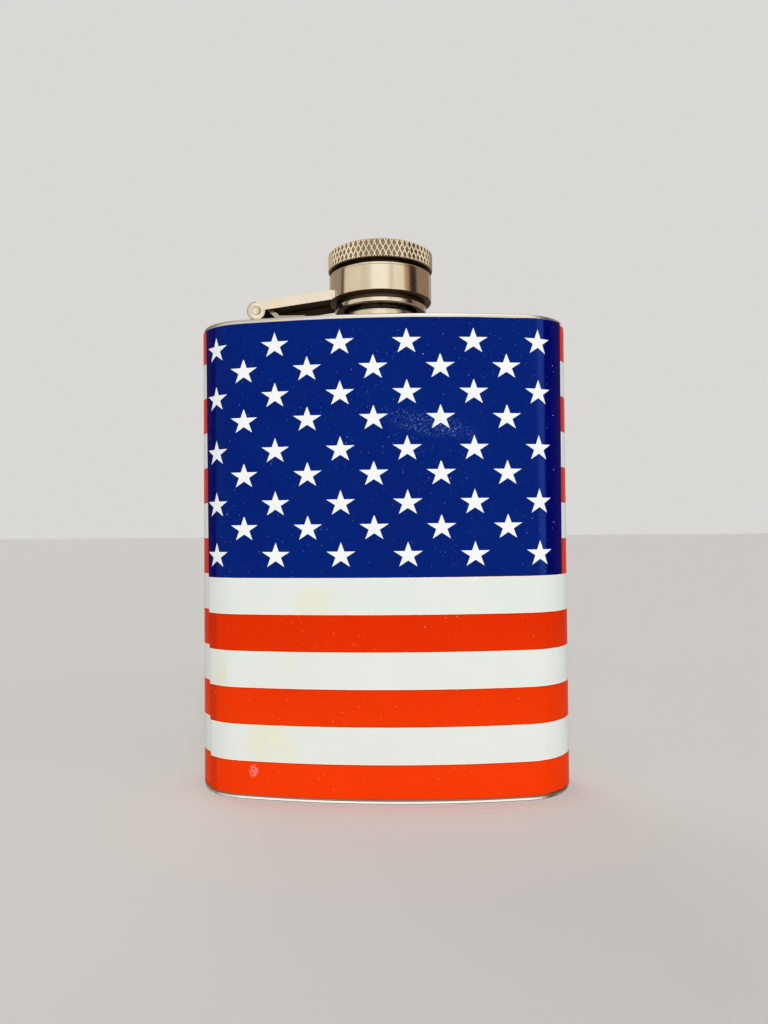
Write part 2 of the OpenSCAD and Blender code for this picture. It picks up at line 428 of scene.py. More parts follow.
def scratches(tree, x, y, angle, length, spacing, width, share):
    """Thin straight marks of about that length, turned by angle degrees. share of the cells hold one each."""
    c, s = math.cos(math.radians(angle)), math.sin(math.radians(angle))
    across = (y * c - x * s) / spacing
    along = (x * c + y * s) / length
    _, draw, place = cells_of(tree, vector(tree, along, across, angle * 0.37))
    thin = ((across - place[1]).size() * spacing).smooth(width, width * 0.3)
    short = (along - place[0]).size().smooth(0.45, 0.2)
    return thin * short * draw[0].below(share) * draw[1]


def start_material(name):
    material = bpy.data.materials.new(name)
    material.use_nodes = True
    tree = material.node_tree
    shader = next(n for n in tree.nodes if n.type == "BSDF_PRINCIPLED")
    return material, tree, shader


def bump(tree, shader, height, distance, strength=1.0):
    node = tree.nodes.new("ShaderNodeBump")
    feed(tree, node.inputs["Height"], height)
    node.inputs["Distance"].default_value = distance
    node.inputs["Strength"].default_value = strength
    tree.links.new(node.outputs["Normal"], shader.inputs["Normal"])


def object_mm(tree):
    """The place of a point on its object, in millimetres."""
    node = tree.nodes.new("ShaderNodeTexCoord")
    return [p / MM for p in parts(tree, node.outputs["Object"])]


# A point of a steel piece: its place and its distance to the cap's axis, in millimetres, and how far its
# surface looks up.
Place = namedtuple("Place", "x y z reach up")


def place_on_object(tree):
    x, y, z = object_mm(tree)
    from_axis = y - AXIS_Y / MM
    node = tree.nodes.new("ShaderNodeTexCoord")
    up = parts(tree, node.outputs["Normal"])[2]
    return Place(x, y, z, (x * x + from_axis * from_axis).math("SQRT"), up)


# ---------------------------------------------------------------- the print, in millimetres on the flat film

SEAM_U = -45.7  # where the film starts, from the middle of the front, at the height SEAM_V
SEAM_V = 40.5
SEAM_LEAN = 0.0185  # how far the film's first edge leans to the left for each step up
FIELD_W = 92.7  # the blue field, from the film's first edge
FIELD_LEAN = 0.011  # how far its right edge leans to the right for each step up
STRIPE_H = 8.98
STRIPE_LOW = 8.25  # the top of the lowest stripe
FIELD_LOW = STRIPE_LOW + 5 * STRIPE_H
STAR_ROWS = [110.35, 104.2, 97.94, 91.8, 84.28, 78.25, 71.18, 65.15, 58.52]  # heights of the rows' middles
STAR_PITCH = 8.154
STAR_MIDDLE = -1.44 - SEAM_U
STAR_R = 3.7
STAR_SQUASH = 0.886  # how much lower a star is than a regular one
STAR_SPAN = 5.6  # how many pitches from the middle the rows reach
FILM_SKEW = 0.4  # how much higher the print sits where the film ends than where it starts
LAST_RISE = 0.5  # and how much more it rises along the film's last part
# These two place the print's painted shade round the corners and its painted highlight.
CORNER_U = 41  # where the flat-looking front turns into its right corner
LEFT_CORNER_SHIFT = 1.5  # how much further from the middle the left corner starts
TOP_DIP = 0.4  # the film's upper edge is this much lower away from the front's right corner

STAIN = linear(233, 228, 190)
# The dark tone of the painted shade and lines along the film's edges and seam.
EDGE_SHADE_TONE = linear(70, 52, 40)

# Pale yellow stains: place along and up, half width, half height, and strength.
STAINS = [
    (30, 47, 8, 5, 1.0),
    (4.8, 28.5, 2.5, 7, 1.0),
    (18, 13, 9, 8, 1.0),
    (22, 33, 4, 4, 0.5),
]
# Short scratches: angle in degrees, length, spacing, and the share of cells that hold one.
SHORT_HAIRS = [
    (-38, 1.9, 2.1, 0.14),
    (71, 1.5, 1.7, 0.10),
    (-66, 1.2, 1.4, 0.08),
]
LONG_HAIRS = [
    (-31, 13, 9, 0.10),
    (8, 16, 12, 0.08),
]
HAIR_W = 0.03
# A scuffed band that leans down to the right, and a chip: place along and up, half width, half height.
SCUFF = (58, 101.8, 14, 3.6)
SCUFF_LEAN = 0.2
CHIP = (13.9, 5.9, 1.5, 1.9)


def star_mask(s, v):
    """1 inside the stars. Each row's centre is picked by steps half way between the rows."""
    centre = v * 0 + STAR_ROWS[0]
    odd_row = v * 0
    for higher, lower in zip(STAR_ROWS, STAR_ROWS[1:]):
        passed = v.below((higher + lower) / 2)
        centre = centre + passed * (lower - higher)
        odd_row = odd_row + passed
    odd_row = odd_row.wrapped(0, 2).above(0.5)
    from_middle = s - STAR_MIDDLE
    dx = (from_middle + odd_row * STAR_PITCH - STAR_PITCH).wrapped(-STAR_PITCH, STAR_PITCH)
    dy = (v - centre) / STAR_SQUASH
    reach = (dx * dx + dy * dy).math("SQRT")
    point = 2 * math.pi / 5
    turn = dx.math("ARCTAN2", dy).wrapped(-point / 2, point / 2).size()
    edge = (turn - point).math("COSINE") * reach
    inside = edge.smooth(STAR_R * math.cos(point) + 0.03, STAR_R * math.cos(point) - 0.03)
    in_rows = v.above(STAR_ROWS[-1] - 2 * STAR_R)
    return inside * in_rows * from_middle.size().below(STAR_SPAN * STAR_PITCH)


def spot(s, v, centre_s, centre_v, half_w, half_h):
    """A soft oval patch: 1 at its centre, 0 outside."""
    x, y = (s - centre_s) / half_w, (v - centre_v) / half_h
    return (x * x + y * y).smooth(1, 0)


def print_wear(tree, s, v, where):
    """How worn the film is, 0 to 1: scratches, dust, bits, the scuffed band and the chip."""
    rubbed = noise_of(tree, where, 0.055, 3, 0.5, 0.3).smooth(0.46, 0.66).ranged(0.45, 1.0)
    bend = noise_of(tree, where, 0.2, 1) * 0.6
    hairs = scratches(tree, s + bend, v - bend, 24, 2.8, 2.6, 0.035, 0.14)
    for angle, length, spacing, share in SHORT_HAIRS:
        hairs = hairs + scratches(tree, s - bend, v + bend, angle, length, spacing, HAIR_W, share)
    long_hairs = v * 0
    for angle, length, spacing, share in LONG_HAIRS:
        long_hairs = long_hairs + scratches(tree, s, v, angle, length, spacing, HAIR_W, share)
    dust_distance, dust_draw, _ = cells_of(tree, where, 0.8)
    dust = dust_distance.smooth(0.14, 0.05) * dust_draw[0].below(0.42) * dust_draw[1]
    bit_distance, bit_draw, _ = cells_of(tree, where, 0.16)
    bits = bit_distance.smooth(0.035, 0.022) * bit_draw[0].below(0.26)
    scuff_grain = noise_of(tree, where, 2.4, 4, 0.75, 1.2).smooth(0.56, 0.68)
    scuff = spot(s, v + s * SCUFF_LEAN, *SCUFF) * scuff_grain
    chip_grain = noise_of(tree, where, 1.8, 4, 0.6).smooth(0.4, 0.55)
    chip = spot(s, v, *CHIP) * chip_grain
    wear = hairs * rubbed * 0.34 + dust * rubbed + long_hairs * 0.12 + bits * 0.7 + scuff * 1.1 + chip * 0.5
    return wear.math("MINIMUM", 1.0)


def print_material():
    material, tree, shader = start_material("printed_vinyl")
    uv = tree.nodes.new("ShaderNodeUVMap")
    uv.uv_map = "unrolled"
    s, v, _ = parts(tree, uv.outputs[0])
    where = vector(tree, s, v)

    wobble = noise_of(tree, where, 0.9, 3).ranged(-0.05, 0.05)
    height = v + wobble
    rank = (height - STRIPE_LOW).wrapped(0, 2 * STRIPE_H)
    is_white = rank.smooth(STRIPE_H + 0.03, STRIPE_H - 0.03)
    edge = rank.wrapped(-STRIPE_H / 2, STRIPE_H / 2).size()
    halo = edge.smooth(0.36, 0.1) * is_white
    overprint = edge.smooth(0.34, 0.1) * is_white.inverted()
    at_left = s.below(CORNER_U)
    from_front = (s + SEAM_U).size() - at_left * LEFT_CORNER_SHIFT
    # Painted shade round the film's corners, where the front turns away from the light.
    corner_shade = from_front.smooth(CORNER_U - 0.4, CORNER_U + 0.6) * s.below(FIELD_W + 2)
    # A painted highlight in a band just before the right corner.
    painted_glint = from_front.smooth(CORNER_U - 2.6, CORNER_U - 1) * corner_shade.inverted() * at_left.inverted()
    in_field = (s + wobble - v * FIELD_LEAN).below(FIELD_W) * height.above(FIELD_LOW)

    tone = noise_of(tree, where, 0.05, 3)
    red = mix(tree, tone * 0.4 + v.smooth(50, 5) * 0.6, linear(218, 40, 0), linear(246, 62, 2))
    # Thin darker lines along the red stripes' edges, and painted shade round the left corner.
    red = mix(tree, overprint * 0.45 + corner_shade * at_left * 0.25, red, linear(130, 34, 8))
    white = mix(tree, tone, linear(222, 230, 227), linear(232, 237, 231))
    white = mix(tree, halo * 0.8, white, linear(254, 232, 208))
    patchy = noise_of(tree, vector(tree, s * 2.2, v), 0.16, 3, 0.5).smooth(0.25, 0.6)
    stain = v * 0
    for along, up, half_w, half_h, strength in STAINS:
        stain = stain + spot(s, v, along, up, half_w, half_h) * strength
    white = mix(tree, stain * patchy * 0.55, white, STAIN)
    stripes = mix(tree, is_white, red, white)
    blue = mix(tree, tone, linear(0, 27, 110), linear(0, 36, 120))
    # Painted shade round the corners, then a painted highlight just before the right one.
    blue = mix(tree, corner_shade, blue, linear(0, 6, 96))
    blue = mix(tree, painted_glint * 0.08, blue, (0.09, 0.25, 0.9, 1))
    stars = star_mask(s, v)
    field = mix(tree, stars, blue, linear(243, 247, 248))
    ink = mix(tree, in_field, stripes, field)

    wear = print_wear(tree, s, v, where)
    on_white = (stars * in_field).math("MAXIMUM", is_white * in_field.inverted())
    pale = mix(tree, in_field, linear(246, 196, 186), linear(140, 178, 232))
    pale = mix(tree, on_white, pale, linear(150, 150, 142))
    ink = mix(tree, wear * 0.85, ink, pale)

    # Painted shadow along the seam, painted shade along the lower edge that deepens round the corners, and a
    # darker line along the upper edge.
    seam = (s + (v - SEAM_V) * SEAM_LEAN).smooth(0.2, 0.05) * 0.5
    low_edge = v.smooth(0.3, 0.02) * corner_shade.ranged(0.4, 0.85)
    high_edge = v.smooth(FILM_H / MM - 0.25, FILM_H / MM - 0.02) * 0.6
    edge_shade = seam.math("MAXIMUM", low_edge).math("MAXIMUM", high_edge)
    ink = mix(tree, edge_shade, ink, EDGE_SHADE_TONE)
    tree.links.new(ink, shader.inputs["Base Color"])

    haze = noise_of(tree, where, 0.12, 4, 0.6)
    rough = haze.ranged(0.16, 0.30) + wear * 0.25 + edge_shade * 0.3
    tree.links.new(rough.socket, shader.inputs["Roughness"])
    shader.inputs["Specular IOR Level"].default_value = 0.04
    peel = noise_of(tree, where, 0.35, 2) * 0.6 + noise_of(tree, where, 1.6, 2) * 0.12 + wear * -0.05
    bump(tree, shader, peel, 0.00002, 0.5)
    return material


# ---------------------------------------------------------------- metals, plastic and rubber


def steel(name, tint, roughness, grain="cloudy", grain_depth=0.000002, shade_at=None):
    """Polished or brushed steel.

    grain is cloudy, turned (rings round the cap's axis) or upright (brushed along Z). The last argument gives,
    from a place, how much painted shade darkens the steel there.
    """
    material, tree, shader = start_material(name)
    place = place_on_object(tree)
    x, y, z = place.x, place.y, place.z
    if grain == "turned":
        fine = noise_of(tree, vector(tree, place.reach * 9, z * 9), 1.0, 3, 0.6)
    elif grain == "upright":
        fine = noise_of(tree, vector(tree, x * 6, y * 6, z * 0.12), 1.0, 3, 0.6)
    else:
        fine = noise_of(tree, vector(tree, x, y, z), 2.2, 4, 0.6)
    cloud = noise_of(tree, vector(tree, x, y, z), 0.35, 3, 0.6)
    hairs = scratches(tree, x + y * 0.7, z + y * 0.4, 33, 4, 2.2, 0.03, 0.3)
    hairs = hairs + scratches(tree, x - y * 0.6, z - y * 0.5, -52, 3, 2, 0.03, 0.25)
    darker = tuple(c * 0.82 for c in tint[:3]) + (1,)
    colour = mix(tree, cloud * 0.6 + fine * 0.3, tint, darker)
    rough = cloud.ranged(roughness * 0.8, roughness * 1.3) + fine * roughness * 0.4 + hairs * 0.15
    if shade_at:
        # Painted shade: the colour darkens towards a dark brown where shade would fall, and the surface gets
        # rougher.
        amount = shade_at(place)
        colour = mix(tree, amount, colour, STEEL_SHADE)
        rough = rough + amount * 0.3
    tree.links.new(colour, shader.inputs["Base Color"])
    tree.links.new(rough.socket, shader.inputs["Roughness"])
    shader.inputs["Metallic"].default_value = 1.0
    bump(tree, shader, fine + hairs * -0.6, grain_depth, 0.5)
    return material


def plastic_material():
    material, tree, shader = start_material("moulded_plastic")
    x, y, z = object_mm(tree)
    cloud = noise_of(tree, vector(tree, x, y, z), 0.8, 3)
    fine = noise_of(tree, vector(tree, x, y, z), 9, 2)
    tree.links.new(mix(tree, cloud, linear(20, 19, 18), linear(32, 30, 28)), shader.inputs["Base Color"])
    tree.links.new(fine.ranged(0.38, 0.52).socket, shader.inputs["Roughness"])
    bump(tree, shader, fine, 0.00001, 0.4)
    return material


def rubber_material():
    material, tree, shader = start_material("black_rubber")
    x, y, z = object_mm(tree)
    fine = noise_of(tree, vector(tree, x, y, z), 6, 4, 0.6)
    tree.links.new(mix(tree, fine, linear(28, 28, 28), linear(46, 45, 44)), shader.inputs["Base Color"])
    tree.links.new(fine.ranged(0.6, 0.8).socket, shader.inputs["Roughness"])
    bump(tree, shader, fine, 0.00003, 0.5)
    return material


CHAMPAGNE = (0.82, 0.75, 0.64, 1)
SILVER = (0.80, 0.78, 0.74, 1)
PLATE_TINT = (0.93, 0.97, 1.0, 1)
KNURL_TINT = (0.92, 0.84, 0.68, 1)
ARM_TINT = (0.80, 0.74, 0.65, 1)
RIVET_TINT = (0.80, 0.76, 0.66, 1)
# The dark brown that the steels' painted shade darkens towards.
STEEL_SHADE = (0.12, 0.09, 0.058, 1)

SLIGHT_GRAIN = 0.000001
FAINT_GRAIN = 0.0000006


def knurl_and_underside_shade(place):
    """Painted shade in the knurl's cells, and fainter painted shade on the knob's underside and inside, but not
    on its top.
    """
    edge = (knob_high.x - knob_low.x) / 2 / MM
    cells = place.reach.smooth(edge - 0.07, edge - 0.2) * 0.8
    under = place.reach.below(edge - 0.3) * 0.2
    return (cells + under) * place.z.below(knob_high.z / MM - 0.2)


def shade_under_the_collar(place):
    """Painted shade on the collar's turned-in lower edge."""
    low = collar_low.z / MM
    return place.z.smooth(low + 0.4, low + 0.2)


def shade_behind_the_bead(place):
    """Painted shade on all of the sleeve but the bead round its mouth."""
    low = sleeve_low.z / MM
    above = place.z.smooth(low + BEAD_H, low + BEAD_H + 0.15)
    return above.math("MAXIMUM", place.z.smooth(low + 0.12, low))


def shade_inside_the_channel(place):
    """Painted shade on everything between the outer faces of the cheeks, apart from what looks up."""
    half_w = (arm_high.y - arm_low.y) / 2 / MM - TAB_W
    across = (place.y - AXIS_Y / MM).size()
    return across.smooth(half_w - 0.06, half_w - 0.14) * place.up.below(0.4)


def shade_below_the_film(place):
    """Painted shade on the strip of wall that shows under the film's lower edge."""
    return place.z.below(film_low.z / MM + 0.2) * 0.7


def arm_reflection_on_plate(place):
    """A painted reflection that darkens the top plate's half on the hinge's side, as if it mirrored the arm.
    The bottom plate gets none.
    """
    return place.x.smooth(6, -24) * place.z.above(film_low.z / MM) * 0.4


def from_hinge(place):
    """How far a place lies across from the hinge's axis, above it, and away from it, in millimetres."""
    across, up = place.x - HINGE.x / MM, place.z - HINGE.z / MM
    return across, up, (across * across + up * up).math("SQRT")


def shade_round_the_eye(place):
    """Painted shade on the left half of the rolled-over edge of the arm's eye, and in the inside of the
    channel.
    """
    across, _, reach = from_hinge(place)
    eye_r = HINGE.x / MM - arm_low.x / MM
    edge = reach.smooth(eye_r - 0.26, eye_r - 0.1) * across.smooth(0.3, -0.3)
    return (edge * 0.85).math("MAXIMUM", shade_inside_the_channel(place))


def shade_round_the_peening(place):
    """Painted shade in the groove in a rivet's head, darker on its upper right."""
    across, up, reach = from_hinge(place)
    groove = (reach - RIVET_GROOVE_R).size().smooth(0.2, 0.06)
    return groove * (across + up).smooth(-1.2, 1).ranged(0.15, 0.75)


MATERIALS = {
    "printed_vinyl": print_material(),
    "wall_steel": steel("brushed_wall_steel", SILVER, 0.30, "upright", FAINT_GRAIN, shade_below_the_film),
    "plate_steel": steel("satin_plate_steel", PLATE_TINT, 0.22, "cloudy", FAINT_GRAIN, arm_reflection_on_plate),
    "neck_steel": steel("turned_neck_steel", CHAMPAGNE, 0.22, "turned"),
    "collar_steel": steel("polished_collar_steel", CHAMPAGNE, 0.12, "turned", SLIGHT_GRAIN, shade_under_the_collar),
    "sleeve_steel": steel("polished_sleeve_steel", CHAMPAGNE, 0.12, "turned", SLIGHT_GRAIN, shade_behind_the_bead),
    "knurl_steel": steel("knurled_cap_steel", KNURL_TINT, 0.16, "turned", shade_at=knurl_and_underside_shade),
    "arm_steel": steel("pressed_arm_steel", ARM_TINT, 0.22, "cloudy", FAINT_GRAIN, shade_round_the_eye),
    "rivet_steel": steel("rivet_steel", RIVET_TINT, 0.18, shade_at=shade_round_the_peening),
    "plastic": plastic_material(),
    "rubber": rubber_material(),
}


def finish_piece(piece, material, body, slot, *replaced):
    piece.data.materials.clear()
    piece.data.materials.append(MATERIALS[material])
    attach(piece, body)
    if replaced:
        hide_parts(*replaced)


def dress_node(node, material):
    """Gives a CAD node that stays visible its material."""
    mesh_object = frame["nodes"][node]
    mesh_object.data.materials.clear()
    mesh_object.data.materials.append(MATERIALS[material])


# ---------------------------------------------------------------- bottle


def film():
    """The printed film: one sheet round the bottle, whose first edge stands proud of its last."""
    columns, rows = 290, 48
    dip_middle, dip_slope = 52 * MM, 16 * MM

    def seam_at(v):
        return SEAM_U * MM - SEAM_LEAN * (v - SEAM_V * MM)

    def top_dip(along):
        return TOP_DIP * MM * min(1.0, abs(along - dip_middle) / dip_slope)

    def inset(s, v):
        lap = max(0.0, 1 - s / LAP_LENGTH) ** 2
        dents = noise.noise(Vector((s / 0.016, v / 0.022, 3.1))) * 0.018 * MM
        return max(0.0, dents) - LAP_RISE * lap

    def edge_shift(s, seed):
        return noise.noise(Vector((s / 0.009, seed, 0.0))) * 0.07 * MM

    outer, inner, flat = [], [], []
    for i in range(columns + 1):
        s = GIRTH * i / columns
        low = film_low.z + abs(edge_shift(s, 1.7))
        high = film_high.z - abs(edge_shift(s, 8.3)) - top_dip(s + SEAM_U * MM)
        column, back, unrolled = [], [], []
        for j in range(rows + 1):
            z = low + (high - low) * j / rows
            v = z - film_low.z
            at = inset(s, v)
            along = seam_at(v) + s
            column.append(bottle_point(along, at).to_3d() + Vector((0, 0, z)))
            back.append(bottle_point(along, FILM_T).to_3d() + Vector((0, 0, z)))
            rise = FILM_SKEW * s / GIRTH + LAST_RISE * (s / GIRTH) ** 6
            unrolled.append((along / MM - SEAM_U, v / MM - rise))
        outer.append(column)
        inner.append(back)
        flat.append(unrolled)

    count = rows + 1
    points = [p for column in outer + inner for p in column]
    coords = [c for column in flat + flat for c in column]
    second = len(outer) * count
    faces = []
    for i in range(columns + 1):
        k = (i + 1) % (columns + 1)
        here, there = i * count, k * count
        behind_here, behind_there = second + here, second + there
        for j in range(rows):
            faces.append((here + j, there + j, there + j + 1, here + j + 1))
        if k == 0:
            continue  # the last column meets the first only on the outside, in the small step of the lap
        for j in range(rows):
            faces.append((behind_here + j, behind_here + j + 1, behind_there + j + 1, behind_there + j))
        faces.append((here + rows, there + rows, behind_there + rows, behind_here + rows))
        faces.append((here, behind_here, behind_there, there))
    mesh = bpy.data.meshes.new("printed_film")
    mesh.from_pydata([tuple(p) for p in points], [], faces)
    layer = mesh.uv_layers.new(name="unrolled")
    last = columns * count
    for polygon in mesh.polygons:
        corners = polygon.vertices
        at_lap = any(last <= v < second for v in corners) and any(v < count for v in corners)
        for loop in polygon.loop_indices:
            s, v = coords[mesh.loops[loop].vertex_index]
            layer.data[loop].uv = (SEAM_LEAN * (SEAM_V - v), v) if at_lap else (s, v)
    piece = new_object("printed_film", mesh, 40)
    finish_piece(piece, "printed_vinyl", "flask", "print", "printed_wrap")


def end_plate(name, node, hole_r, material, slot):
    """A pressed end plate with a rounded edge. Its flat face is up at the top and down at the base."""
    low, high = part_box(node)
    face_z, side_z = (high.z, low.z) if hole_r else (low.z, high.z)
    edge_r = TOP_EDGE_R if hole_r else BASE_EDGE_R
    flat_inset = 2.5 * MM
    count = 320
    border = edge_fillet(FILM_T, face_z, side_z, edge_r)
    face = [(flat_inset, face_z)] + border + [(FILM_T, side_z), (flat_inset, side_z)]
    rings = [outline_ring(inset, z, count) for inset, z in face]
    if hole_r:
        for z, at in ((side_z, len(rings)), (face_z, 0)):
            rim = []
            for p in rings[0]:
                out = (Vector((p.x, p.y, 0)) - AXIS).normalized()
                rim.append(AXIS + out * hole_r + Vector((0, 0, z)))
            rings.insert(at, rim)
    piece = loops_object(name, rings, close_profile=bool(hole_r), cap_ends=not hole_r, smooth_angle=50)
    finish_piece(piece, material, "flask", slot, node)


def thread(wall_r, side, z_start, turns):
    """A helical ridge on the outside (side 1) or inside (side -1) of a round wall, in millimetres."""
    steps = 72
    count = int(turns * steps)
    sink, half_base, half_crest, crown = 0.1, 0.4, 0.16, 0.02
    loops = []
    for i in range(count + 1):
        angle = 2 * math.pi * i / steps
        z = z_start + THREAD_PITCH * i / steps
        fade = math.sin(math.pi / 2 * min(1.0, 4 * i / steps, 4 * (count - i) / steps))
        crest = wall_r + side * (THREAD_H * fade - crown)
        root = wall_r - side * sink
        section = [(root, -half_base), (crest, -half_crest), (crest + side * crown, 0)]
        section += [(crest, half_crest), (root, half_base)]
        loops.append([about_cap(r * MM, (z + dz) * MM, angle) for r, dz in section])
    return loops_object("ridge", loops, cap_ends=True, smooth_angle=60)


def neck():
    """Spun neck with a shoulder, a rolled rim and the thread."""
    plate, rim, tail = PLATE_Z / MM, neck_high.z / MM, neck_low.z / MM
    wall = turned("wall", [
        (NECK_BORE_R, tail, 0),
        (NECK_ROOT_R, tail, 0),
        (NECK_ROOT_R, plate - 0.3, 0),
        (NECK_SHOULDER_R, plate, 0),
        (NECK_SHOULDER_R, plate + NECK_SHOULDER_H, 0.5),
        (NECK_ROOT_R, plate + NECK_SHOULDER_H + 0.3, 0.25),
        (NECK_ROOT_R, rim, 0.4),
        (NECK_BORE_R, rim, 0.35),
    ])
    ridge = thread(NECK_ROOT_R, 1, plate + NECK_THREAD_Z, NECK_TURNS)
    piece = joined("threaded_neck", [wall, ridge])
    finish_piece(piece, "neck_steel", "flask", "neck_steel", "neck")


def liner():
    """Moulded insert of the cap, with the inner thread and the roof that holds the seal."""
    mouth, top = liner_low.z / MM, liner_high.z / MM
    outer = (liner_high.x - liner_low.x) / 2 / MM - 0.02
    roof = disc_high.z / MM + 0.1
    cup = turned("cup", [
        (LINER_BORE_R, mouth, 0.3),
        (outer, mouth, 0.2),
        (outer, top, 0),
        (0, top, 0),
        (0, roof, 0),
        (LINER_BORE_R, roof, 0.2),
    ])
    ridge = thread(LINER_BORE_R, -1, PLATE_Z / MM + NECK_THREAD_Z + THREAD_PITCH / 2, LINER_TURNS)
    piece = joined("threaded_liner", [cup, ridge])
    finish_piece(piece, "plastic", "cap", "liner_plastic", "cap_liner")


def seal():
    """Soft disc with a ring pressed into it by the neck's rim."""
    radius, low, high = (disc_high.x - disc_low.x) / 2 / MM, disc_low.z / MM, disc_high.z / MM
    piece = turned("rubber_seal", [
        (0, low, 0),
        (NECK_BORE_R - 0.4, low, 0.15),
        (NECK_BORE_R, low + 0.12, 0.15),
        (NECK_ROOT_R, low + 0.12, 0.15),
        (NECK_ROOT_R + 0.3, low, 0.1),
        (radius, low, 0.3),
        (radius, high, 0.3),
        (0, high, 0),
    ])
    finish_piece(piece, "rubber", "seal", "rubber", "sealing_disc")


def sleeve():
    """Thin drawn sleeve whose mouth is rolled out into a bead."""
    low, high = sleeve_low.z / MM, sleeve_high.z / MM
    lip = (sleeve_high.x - sleeve_low.x) / 2 / MM
    bead_round = 0.6
    piece = turned("beaded_sleeve", [
        (SLEEVE_R - SLEEVE_T, low, 0.2),
        (lip, low, bead_round),
        (lip, low + BEAD_H, bead_round),
        (SLEEVE_R, low + BEAD_H + 0.03, 0.05),
        (SLEEVE_R, high, 0),
        (SLEEVE_R - SLEEVE_T, high, 0),
    ], steps=7)
    finish_piece(piece, "sleeve_steel", "cap", "collar_steel", "cap_sleeve")


def collar():
    """Pressed ring with a rolled upper bead and a turned-in lower edge."""
    low, high = collar_low.z / MM, collar_high.z / MM
    radius = (collar_high.x - collar_low.x) / 2 / MM
    bore, wall, bead = SLEEVE_R + 0.2, 0.8, 0.75
    piece = turned("pressed_collar", [
        (bore, low, 0.1),
        (radius, low, 0.5),
        (radius, high - bead - 0.16, 0.05),
        (radius - 0.09, high - bead - 0.06, 0.05),
        (radius, high - bead + 0.08, 0.1),
        (radius, high, 0.6),
        (bore, high, 0.1),
        (bore, high - wall, 0),
        (radius - wall, high - wall, 0),
        (radius - wall, low + wall, 0),
        (bore, low + wall, 0),
    ], count=240, steps=7)
    finish_piece(piece, "collar_steel", "arm", "collar_steel", "collar")


def rivet():
    """Peened rivet: a shallow domed head on both cheeks, with a ring and a dimple in each."""
    half = (rivet_high.y - rivet_low.y) / 2 / MM
    head_t = 0.25
    half_face = [
        (0, half - 0.17, 0),
        (0.42, half - 0.15, 0.1),
        (0.66, half - 0.02, 0.08),
        (0.88, half, 0.08),
        (1.0, half - 0.1, 0.05),
        (1.02, half - head_t + 0.02, 0.02),
        (1.2, half - head_t + 0.03, 0.05),
        (1.45, half - 0.13, 0.15),
        (1.9, half - head_t + 0.03, 0.1),
        (1.92, half - head_t - 0.02, 0),
        (RIVET_R, half - head_t - 0.02, 0),
    ]
    mirrored = [(r, -a, f) for r, a, f in reversed(half_face)]
    piece = turned("peened_rivet", half_face + mirrored, about_hinge, count=64)
    finish_piece(piece, "rivet_steel", "arm", "rivet_steel", "hinge_rivet")


def knurl_height(turns, height):
    """How far the knurl stands up: 0 in its diamond cells, 1 on the ridges between them.

    turns is the place round the cap, in pitches.
    """
    rise = height / KNURL_RISE
    from_ridge = min(abs(a - round(a)) for a in (turns + rise, turns - rise))
    return 0.5 + 0.5 * math.cos(math.pi * min(from_ridge / RIDGE_W, 1.0))


def knob():
    """Cap cup with a rolled diamond knurl round its side and a shallow dish in its top."""
    radius, low, high = (knob_high.x - knob_low.x) / 2, knob_low.z, knob_high.z
    columns = KNURLS * KNURL_STEPS
    row_h = KNURL_RISE / KNURL_STEPS
    rows = int((high - low) / row_h)
    margin = ((high - low) - rows * row_h) / 2
    wall = 0.8 * MM
    chamfer = 0.32 * MM
    edge_r = 0.5 * MM

    bore = SLEEVE_R * MM + 0.05 * MM
    rim = radius - chamfer - KNURL_DEPTH
    centre = 0.02 * MM
    section = [
        (bore, low + wall),
        (bore, low),
        (rim - 0.5 * MM, low),
        (rim, low),
        *((radius, low + margin + row_h * j) for j in range(rows + 1)),
        (rim, high),
        (radius - 1.5 * MM, high),
        (radius - 1.8 * MM, high - 0.1 * MM),
        (radius - 2.2 * MM, high - 0.13 * MM),
        (6 * MM, high - 0.09 * MM),
        (centre, high - 0.08 * MM),
        (centre, high - wall),
        (radius - wall, high - wall),
        (radius - wall, low + wall),
    ]
    piece = loops_object("knurled_knob", turned_rings(section, about_cap, columns), close_profile=True)

    work = bmesh.new()
    work.from_mesh(piece.data)
    near = radius - 1e-6
    side = [f for f in work.faces if all((v.co - AXIS).xy.length > near for v in f.verts)]
    bmesh.ops.poke(work, faces=side, center_mode="MEAN_WEIGHTED")
    for v in work.verts:
        out = Vector(((v.co - AXIS).x, (v.co - AXIS).y, 0))
        if out.length < near - 0.01 * MM:
            continue
        turns = math.atan2(out.y, out.x) / (2 * math.pi) * KNURLS
        height = v.co.z - (low + high) / 2
        reach = radius - KNURL_DEPTH * (1 - knurl_height(turns, height))
        edge = max(0.0, edge_r - min(v.co.z - low, high - v.co.z))
        reach = min(reach, radius - edge_r + math.sqrt(edge_r**2 - edge**2))
        place = AXIS + out.normalized() * reach
        v.co.x, v.co.y = place.x, place.y
    work.to_mesh(piece.data)
    work.free()
    piece.data.set_sharp_from_angle(angle=math.radians(24))
    finish_piece(piece, "knurl_steel", "cap", "knob_steel", "cap_knob")


def arm():
    """The channel with its edges rounded, apart from those at the collar, and its end tabs' tops lowered."""
    collar_r = (collar_high.x - collar_low.x) / 2
    piece = softened("channel_arm", "arm", ARM_EDGE_R, collar_r + 1.2 * MM)
    tab_from = (arm_high.y - arm_low.y) / 2 - (TAB_W - 0.05) * MM
    for corner in piece.data.vertices:
        if abs(corner.co.y - AXIS_Y) > tab_from and corner.co.z > arm_high.z - 1 * MM:
            corner.co.z -= TAB_DROP
    finish_piece(piece, "arm_steel", "arm", "arm_steel", "arm")


def bracket():
    """The curled strip with its edges rounded."""
    piece = softened("curled_bracket", "hinge_bracket", BRACKET_EDGE_R)
    finish_piece(piece, "arm_steel", "flask", "arm_steel", "hinge_bracket")


# ---------------------------------------------------------------- the build

